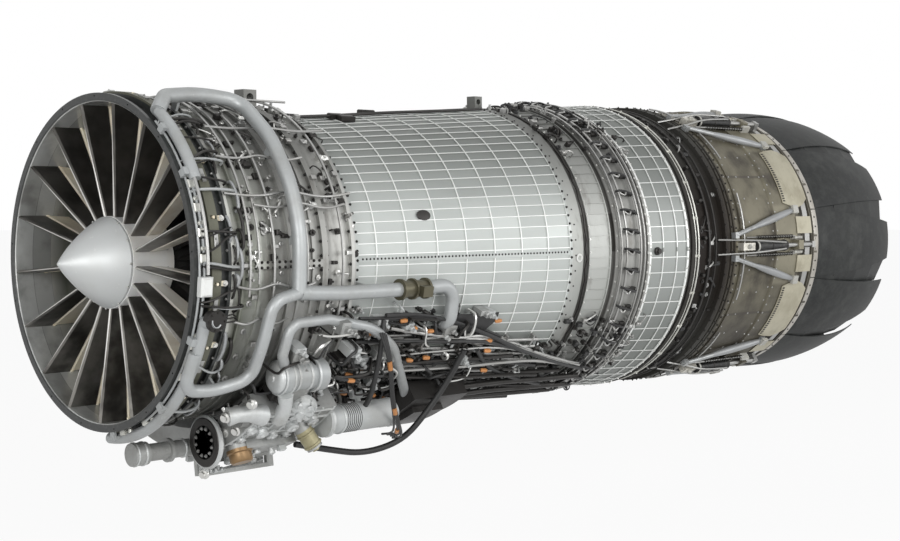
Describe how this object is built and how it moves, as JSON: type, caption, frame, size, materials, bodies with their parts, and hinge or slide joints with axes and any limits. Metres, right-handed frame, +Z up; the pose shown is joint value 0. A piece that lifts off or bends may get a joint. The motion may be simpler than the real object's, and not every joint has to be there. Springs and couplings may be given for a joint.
{
  "type": "jet engine",
  "caption": "Afterburning turbofan with variable inlet flaps behind fixed struts, gridded bypass duct, belly gearbox and a variable petal nozzle.",
  "frame": {"origin": "centre of the inlet flange's front face, on the shaft axis", "axes": "+X aft along the shaft, +Z up towards the top mounts, -Y is the port side with the air pipes"},
  "size_m": [4.54, 1.418, 1.4703],
  "materials": {
    "lip": "dark grey-green enamel, worn at the edges",
    "strut": "bare metal with polished leading edges",
    "nose": "smooth grey erosion coating",
    "flap": "bright heat-tinted metal",
    "olive": "olive film finish",
    "case": "machined titanium, dull",
    "blade": "dark polished blades",
    "core": "heat-stained steel",
    "duct": "chemically milled, pale satin",
    "band": "grey satin with darker bands",
    "hot": "oxidised hot-section alloy",
    "liner": "sooty coated liner",
    "dark": "dark heat-stained metal",
    "khaki": "khaki heat-tinted sheet",
    "petal": "dark matt flap skin",
    "casting": "cast, grey, slightly oily",
    "paint": "pale grey enamel",
    "pipe": "grey satin pipe",
    "bronze": "browned bronze",
    "steel": "machined steel"
  },
  "bodies": {
    "engine": {"inlet_ring": "lip", "inlet_struts": "strut", "inlet_hub": "strut", "bullet_nose": "nose", "fan_case": "case", "fan_frame": "case", "core_case": "core", "combustor_liner": "hot", "main_bearings": "steel", "turbine_frame": "hot", "bypass_duct_upper": "duct", "bypass_duct_lower": "duct", "duct_middle_section": "band", "duct_rear_section": "duct", "flame_holder": "hot", "afterburner_liner": "liner", "exhaust_case": "dark", "nozzle_support": "khaki", "nozzle_actuators": "steel", "accessory_gearbox": "casting", "fuel_pump": "casting", "generator": "paint", "air_pipes": "pipe", "bleed_valve": "bronze", "service_tubes": "steel", "afterburner_control": "dark"},
    "low_spool": {"fan_rotor": "blade", "low_turbine": "hot"},
    "high_spool": {"core_rotor": "steel"},
    "flap_ring": {"flap_drive_ring": "olive"},
    "nozzle_drive": {"nozzle_drive_ring": "steel"},
    "flap_01": {"inlet_flap_01": "flap"},
    "flap_02": {"inlet_flap_02": "flap"},
    "flap_03": {"inlet_flap_03": "flap"},
    "flap_04": {"inlet_flap_04": "flap"},
    "flap_05": {"inlet_flap_05": "flap"},
    "flap_06": {"inlet_flap_06": "flap"},
    "flap_07": {"inlet_flap_07": "flap"},
    "flap_08": {"inlet_flap_08": "flap"},
    "flap_09": {"inlet_flap_09": "flap"},
    "flap_10": {"inlet_flap_10": "flap"},
    "flap_11": {"inlet_flap_11": "flap"},
    "flap_12": {"inlet_flap_12": "flap"},
    "flap_13": {"inlet_flap_13": "flap"},
    "flap_14": {"inlet_flap_14": "flap"},
    "flap_15": {"inlet_flap_15": "flap"},
    "flap_16": {"inlet_flap_16": "flap"},
    "flap_17": {"inlet_flap_17": "flap"},
    "petal_01": {"nozzle_petal_01": "petal"},
    "petal_02": {"nozzle_petal_02": "petal"},
    "petal_03": {"nozzle_petal_03": "petal"},
    "petal_04": {"nozzle_petal_04": "petal"},
    "petal_05": {"nozzle_petal_05": "petal"},
    "petal_06": {"nozzle_petal_06": "petal"},
    "petal_07": {"nozzle_petal_07": "petal"},
    "petal_08": {"nozzle_petal_08": "petal"},
    "petal_09": {"nozzle_petal_09": "petal"},
    "petal_10": {"nozzle_petal_10": "petal"},
    "petal_11": {"nozzle_petal_11": "petal"},
    "petal_12": {"nozzle_petal_12": "petal"}
  },
  "joints": [
    {"name": "low_spool_turn", "type": "hinge", "parent": "engine", "child": "low_spool", "pos_m": [0.3, 0, 0], "axis": [1, 0, 0], "continuous": true},
    {"name": "high_spool_turn", "type": "hinge", "parent": "engine", "child": "high_spool", "pos_m": [1, 0, 0], "axis": [1, 0, 0], "continuous": true},
    {"name": "flap_ring_turn", "type": "hinge", "parent": "engine", "child": "flap_ring", "pos_m": [0.083, 0, 0], "axis": [1, 0, 0], "range_deg": [-1.65, 1.32]},
    {"name": "nozzle_slide", "type": "slide", "parent": "engine", "child": "nozzle_drive", "axis": [1, 0, 0], "range_m": [-0.06, 0]},
    {"name": "flap_01_turn", "type": "hinge", "parent": "engine", "child": "flap_01", "pos_m": [0.126, 0, -0.4], "axis": [0, 0, -1], "range_deg": [-25, 20]},
    {"name": "flap_02_turn", "type": "hinge", "parent": "engine", "child": "flap_02", "pos_m": [0.126, 0.1445, -0.37299], "axis": [0, 0.3612, -0.9325], "range_deg": [-25, 20]},
    {"name": "flap_03_turn", "type": "hinge", "parent": "engine", "child": "flap_03", "pos_m": [0.126, 0.26948, -0.2956], "axis": [0, 0.6737, -0.739], "range_deg": [-25, 20]},
    {"name": "flap_04_turn", "type": "hinge", "parent": "engine", "child": "flap_04", "pos_m": [0.126, 0.35807, -0.1783], "axis": [0, 0.8952, -0.4457], "range_deg": [-25, 20]},
    {"name": "flap_05_turn", "type": "hinge", "parent": "engine", "child": "flap_05", "pos_m": [0.126, 0.39829, -0.03691], "axis": [0, 0.9957, -0.0923], "range_deg": [-25, 20]},
    {"name": "flap_06_turn", "type": "hinge", "parent": "engine", "child": "flap_06", "pos_m": [0.126, 0.38473, 0.10947], "axis": [0, 0.9618, 0.2737], "range_deg": [-25, 20]},
    {"name": "flap_07_turn", "type": "hinge", "parent": "engine", "child": "flap_07", "pos_m": [0.126, 0.31921, 0.24105], "axis": [0, 0.798, 0.6026], "range_deg": [-25, 20]},
    {"name": "flap_08_turn", "type": "hinge", "parent": "engine", "child": "flap_08", "pos_m": [0.126, 0.21057, 0.34009], "axis": [0, 0.5264, 0.8502], "range_deg": [-25, 20]},
    {"name": "flap_09_turn", "type": "hinge", "parent": "engine", "child": "flap_09", "pos_m": [0.126, 0.0735, 0.39319], "axis": [0, 0.1837, 0.983], "range_deg": [-25, 20]},
    {"name": "flap_10_turn", "type": "hinge", "parent": "engine", "child": "flap_10", "pos_m": [0.126, -0.0735, 0.39319], "axis": [0, -0.1837, 0.983], "range_deg": [-25, 20]},
    {"name": "flap_11_turn", "type": "hinge", "parent": "engine", "child": "flap_11", "pos_m": [0.126, -0.21057, 0.34009], "axis": [0, -0.5264, 0.8502], "range_deg": [-25, 20]},
    {"name": "flap_12_turn", "type": "hinge", "parent": "engine", "child": "flap_12", "pos_m": [0.126, -0.31921, 0.24105], "axis": [0, -0.798, 0.6026], "range_deg": [-25, 20]},
    {"name": "flap_13_turn", "type": "hinge", "parent": "engine", "child": "flap_13", "pos_m": [0.126, -0.38473, 0.10947], "axis": [0, -0.9618, 0.2737], "range_deg": [-25, 20]},
    {"name": "flap_14_turn", "type": "hinge", "parent": "engine", "child": "flap_14", "pos_m": [0.126, -0.39829, -0.03691], "axis": [0, -0.9957, -0.0923], "range_deg": [-25, 20]},
    {"name": "flap_15_turn", "type": "hinge", "parent": "engine", "child": "flap_15", "pos_m": [0.126, -0.35807, -0.1783], "axis": [0, -0.8952, -0.4457], "range_deg": [-25, 20]},
    {"name": "flap_16_turn", "type": "hinge", "parent": "engine", "child": "flap_16", "pos_m": [0.126, -0.26948, -0.2956], "axis": [0, -0.6737, -0.739], "range_deg": [-25, 20]},
    {"name": "flap_17_turn", "type": "hinge", "parent": "engine", "child": "flap_17", "pos_m": [0.126, -0.1445, -0.37299], "axis": [0, -0.3612, -0.9325], "range_deg": [-25, 20]},
    {"name": "petal_01_turn", "type": "hinge", "parent": "engine", "child": "petal_01", "pos_m": [3.6, 0, 0.645], "axis": [0, -1, 0], "range_deg": [-16, 0]},
    {"name": "petal_02_turn", "type": "hinge", "parent": "engine", "child": "petal_02", "pos_m": [3.6, -0.3225, 0.55859], "axis": [0, -0.866, -0.5], "range_deg": [-16, 0]},
    {"name": "petal_03_turn", "type": "hinge", "parent": "engine", "child": "petal_03", "pos_m": [3.6, -0.55859, 0.3225], "axis": [0, -0.5, -0.866], "range_deg": [-16, 0]},
    {"name": "petal_04_turn", "type": "hinge", "parent": "engine", "child": "petal_04", "pos_m": [3.6, -0.645, 0], "axis": [0, 0, -1], "range_deg": [-16, 0]},
    {"name": "petal_05_turn", "type": "hinge", "parent": "engine", "child": "petal_05", "pos_m": [3.6, -0.55859, -0.3225], "axis": [0, 0.5, -0.866], "range_deg": [-16, 0]},
    {"name": "petal_06_turn", "type": "hinge", "parent": "engine", "child": "petal_06", "pos_m": [3.6, -0.3225, -0.55859], "axis": [0, 0.866, -0.5], "range_deg": [-16, 0]},
    {"name": "petal_07_turn", "type": "hinge", "parent": "engine", "child": "petal_07", "pos_m": [3.6, 0, -0.645], "axis": [0, 1, 0], "range_deg": [-16, 0]},
    {"name": "petal_08_turn", "type": "hinge", "parent": "engine", "child": "petal_08", "pos_m": [3.6, 0.3225, -0.55859], "axis": [0, 0.866, 0.5], "range_deg": [-16, 0]},
    {"name": "petal_09_turn", "type": "hinge", "parent": "engine", "child": "petal_09", "pos_m": [3.6, 0.55859, -0.3225], "axis": [0, 0.5, 0.866], "range_deg": [-16, 0]},
    {"name": "petal_10_turn", "type": "hinge", "parent": "engine", "child": "petal_10", "pos_m": [3.6, 0.645, 0], "axis": [0, 0, 1], "range_deg": [-16, 0]},
    {"name": "petal_11_turn", "type": "hinge", "parent": "engine", "child": "petal_11", "pos_m": [3.6, 0.55859, 0.3225], "axis": [0, -0.5, 0.866], "range_deg": [-16, 0]},
    {"name": "petal_12_turn", "type": "hinge", "parent": "engine", "child": "petal_12", "pos_m": [3.6, 0.3225, 0.55859], "axis": [0, -0.866, 0.5], "range_deg": [-16, 0]}
  ],
  "couplings": [
    {"joint": "flap_01_turn", "follows": "flap_ring_turn", "ratio": 15.125},
    {"joint": "flap_02_turn", "follows": "flap_ring_turn", "ratio": 15.125},
    {"joint": "flap_03_turn", "follows": "flap_ring_turn", "ratio": 15.125},
    {"joint": "flap_04_turn", "follows": "flap_ring_turn", "ratio": 15.125},
    {"joint": "flap_05_turn", "follows": "flap_ring_turn", "ratio": 15.125},
    {"joint": "flap_06_turn", "follows": "flap_ring_turn", "ratio": 15.125},
    {"joint": "flap_07_turn", "follows": "flap_ring_turn", "ratio": 15.125},
    {"joint": "flap_08_turn", "follows": "flap_ring_turn", "ratio": 15.125},
    {"joint": "flap_09_turn", "follows": "flap_ring_turn", "ratio": 15.125},
    {"joint": "flap_10_turn", "follows": "flap_ring_turn", "ratio": 15.125},
    {"joint": "flap_11_turn", "follows": "flap_ring_turn", "ratio": 15.125},
    {"joint": "flap_12_turn", "follows": "flap_ring_turn", "ratio": 15.125},
    {"joint": "flap_13_turn", "follows": "flap_ring_turn", "ratio": 15.125},
    {"joint": "flap_14_turn", "follows": "flap_ring_turn", "ratio": 15.125},
    {"joint": "flap_15_turn", "follows": "flap_ring_turn", "ratio": 15.125},
    {"joint": "flap_16_turn", "follows": "flap_ring_turn", "ratio": 15.125},
    {"joint": "flap_17_turn", "follows": "flap_ring_turn", "ratio": 15.125},
    {"joint": "petal_01_turn", "follows": "nozzle_slide", "rad_per_m": 4.6542},
    {"joint": "petal_02_turn", "follows": "nozzle_slide", "rad_per_m": 4.6542},
    {"joint": "petal_03_turn", "follows": "nozzle_slide", "rad_per_m": 4.6542},
    {"joint": "petal_04_turn", "follows": "nozzle_slide", "rad_per_m": 4.6542},
    {"joint": "petal_05_turn", "follows": "nozzle_slide", "rad_per_m": 4.6542},
    {"joint": "petal_06_turn", "follows": "nozzle_slide", "rad_per_m": 4.6542},
    {"joint": "petal_07_turn", "follows": "nozzle_slide", "rad_per_m": 4.6542},
    {"joint": "petal_08_turn", "follows": "nozzle_slide", "rad_per_m": 4.6542},
    {"joint": "petal_09_turn", "follows": "nozzle_slide", "rad_per_m": 4.6542},
    {"joint": "petal_10_turn", "follows": "nozzle_slide", "rad_per_m": 4.6542},
    {"joint": "petal_11_turn", "follows": "nozzle_slide", "rad_per_m": 4.6542},
    {"joint": "petal_12_turn", "follows": "nozzle_slide", "rad_per_m": 4.6542}
  ]
}
